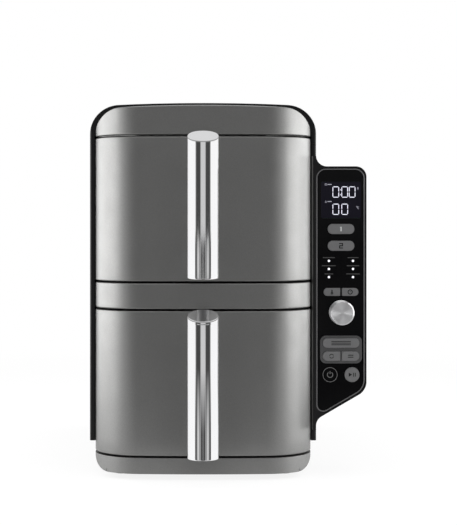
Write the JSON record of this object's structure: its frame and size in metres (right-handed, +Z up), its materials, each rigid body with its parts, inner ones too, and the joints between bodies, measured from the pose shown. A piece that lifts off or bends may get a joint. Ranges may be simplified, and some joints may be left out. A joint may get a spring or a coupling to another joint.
{
  "type": "two-drawer air fryer",
  "caption": "Tall stacked air fryer with pull-out drawers, lift-out crisper plates, vertical bar handles and a side control wing with dial, keys and display.",
  "frame": {"origin": "bottom centre of the whole appliance, on the worktop under the middle of its box, handles and control wing included", "axes": "+Z up; -Y towards the user, the way the drawers pull out; +X to the user's right, towards the control wing"},
  "size_m": [0.2858, 0.47, 0.3858],
  "materials": {
    "front_grey": "satin grey paint with a fine metallic fleck",
    "shell_black": "satin black moulded plastic with a fine texture",
    "rubber_black": "matt",
    "silicone_black": "matt silicone",
    "screw_steel": "zinc plated",
    "liner_steel": "aluminised sheet",
    "heater_tube": "heat-darkened tube",
    "motor_metal": "plain",
    "circuit_board": "lacquered board",
    "panel_gloss": "gloss black",
    "trim_grey": "satin grey",
    "window_smoke": "smoked window",
    "lamp_white": "clear light pipe",
    "handle_chrome": "polished",
    "basket_coating": "dark non-stick coating",
    "dial_metal": "spun face",
    "key_grey": "satin grey"
  },
  "bodies": {
    "housing": {"base_fascia": "front_grey", "base_tray": "shell_black", "feet": "rubber_black", "top_fascia": "front_grey", "middle_fascia": "front_grey", "front_frame": "shell_black", "left_side_panel": "shell_black", "right_side_panel": "shell_black", "top_cover": "shell_black", "rear_cover": "shell_black", "cover_screws": "screw_steel", "upper_liner": "liner_steel", "lower_liner": "liner_steel", "divider_shelf": "liner_steel", "upper_heater": "heater_tube", "lower_heater": "heater_tube", "upper_fan_guard": "liner_steel", "lower_fan_guard": "liner_steel", "upper_motor": "motor_metal", "lower_motor": "motor_metal", "temperature_probes": "screw_steel", "power_board": "circuit_board", "cord_gland": "rubber_black", "wing_housing": "shell_black", "control_panel": "panel_gloss", "panel_rim": "trim_grey", "display_window": "window_smoke", "display_module": "shell_black", "mode_lights": "lamp_white", "key_group_plate": "trim_grey", "control_board": "circuit_board", "encoder": "shell_black"},
    "upper_drawer": {"upper_drawer_front": "front_grey", "upper_drawer_backing": "shell_black", "upper_handle": "handle_chrome", "upper_handle_screws": "screw_steel", "upper_basket": "basket_coating"},
    "upper_crisper": {"upper_crisper_plate": "basket_coating", "upper_crisper_bumpers": "silicone_black"},
    "upper_fan": {"upper_fan": "liner_steel"},
    "lower_drawer": {"lower_drawer_front": "front_grey", "lower_drawer_backing": "shell_black", "lower_handle": "handle_chrome", "lower_handle_screws": "screw_steel", "lower_basket": "basket_coating"},
    "lower_crisper": {"lower_crisper_plate": "basket_coating", "lower_crisper_bumpers": "silicone_black"},
    "lower_fan": {"lower_fan": "liner_steel"},
    "dial": {"dial_knob": "dial_metal", "dial_shaft": "dial_metal"},
    "key_1": {"key_1": "key_grey"},
    "key_2": {"key_2": "key_grey"},
    "key_temp": {"key_temp": "key_grey"},
    "key_time": {"key_time": "key_grey"},
    "key_stack": {"key_stack": "key_grey"},
    "key_sync": {"key_sync": "key_grey"},
    "key_match": {"key_match": "key_grey"},
    "key_power": {"key_power": "panel_gloss"},
    "key_start": {"key_start": "key_grey"}
  },
  "joints": [
    {"name": "upper_drawer_slide", "type": "slide", "parent": "housing", "child": "upper_drawer", "axis": [0, -1, 0], "range_m": [0, 0.26]},
    {"name": "upper_crisper_lift", "type": "slide", "parent": "upper_drawer", "child": "upper_crisper", "axis": [0, 0, 1], "range_m": [0, 0.1]},
    {"name": "lower_drawer_slide", "type": "slide", "parent": "housing", "child": "lower_drawer", "axis": [0, -1, 0], "range_m": [0, 0.26]},
    {"name": "lower_crisper_lift", "type": "slide", "parent": "lower_drawer", "child": "lower_crisper", "axis": [0, 0, 1], "range_m": [0, 0.1]},
    {"name": "dial_turn", "type": "hinge", "parent": "housing", "child": "dial", "pos_m": [0.1166, -0.1675, 0.1691], "axis": [0, 1, 0], "continuous": true},
    {"name": "key_1_press", "type": "slide", "parent": "housing", "child": "key_1", "axis": [0, 1, 0], "range_m": [0, 0.0009], "stiffness_N_per_m": 600},
    {"name": "key_2_press", "type": "slide", "parent": "housing", "child": "key_2", "axis": [0, 1, 0], "range_m": [0, 0.0009], "stiffness_N_per_m": 600},
    {"name": "key_temp_press", "type": "slide", "parent": "housing", "child": "key_temp", "axis": [0, 1, 0], "range_m": [0, 0.0009], "stiffness_N_per_m": 600},
    {"name": "key_time_press", "type": "slide", "parent": "housing", "child": "key_time", "axis": [0, 1, 0], "range_m": [0, 0.0009], "stiffness_N_per_m": 600},
    {"name": "key_stack_press", "type": "slide", "parent": "housing", "child": "key_stack", "axis": [0, 1, 0], "range_m": [0, 0.0009], "stiffness_N_per_m": 600},
    {"name": "key_sync_press", "type": "slide", "parent": "housing", "child": "key_sync", "axis": [0, 1, 0], "range_m": [0, 0.0009], "stiffness_N_per_m": 600},
    {"name": "key_match_press", "type": "slide", "parent": "housing", "child": "key_match", "axis": [0, 1, 0], "range_m": [0, 0.0009], "stiffness_N_per_m": 600},
    {"name": "key_power_press", "type": "slide", "parent": "housing", "child": "key_power", "axis": [0, 1, 0], "range_m": [0, 0.0009], "stiffness_N_per_m": 600},
    {"name": "key_start_press", "type": "slide", "parent": "housing", "child": "key_start", "axis": [0, 1, 0], "range_m": [0, 0.0009], "stiffness_N_per_m": 600},
    {"name": "upper_fan_spin", "type": "hinge", "parent": "housing", "child": "upper_fan", "pos_m": [-0.0249, 0.1575, 0.2752], "axis": [0, 1, 0], "continuous": true},
    {"name": "lower_fan_spin", "type": "hinge", "parent": "housing", "child": "lower_fan", "pos_m": [-0.0249, 0.1575, 0.098], "axis": [0, 1, 0], "continuous": true}
  ]
}
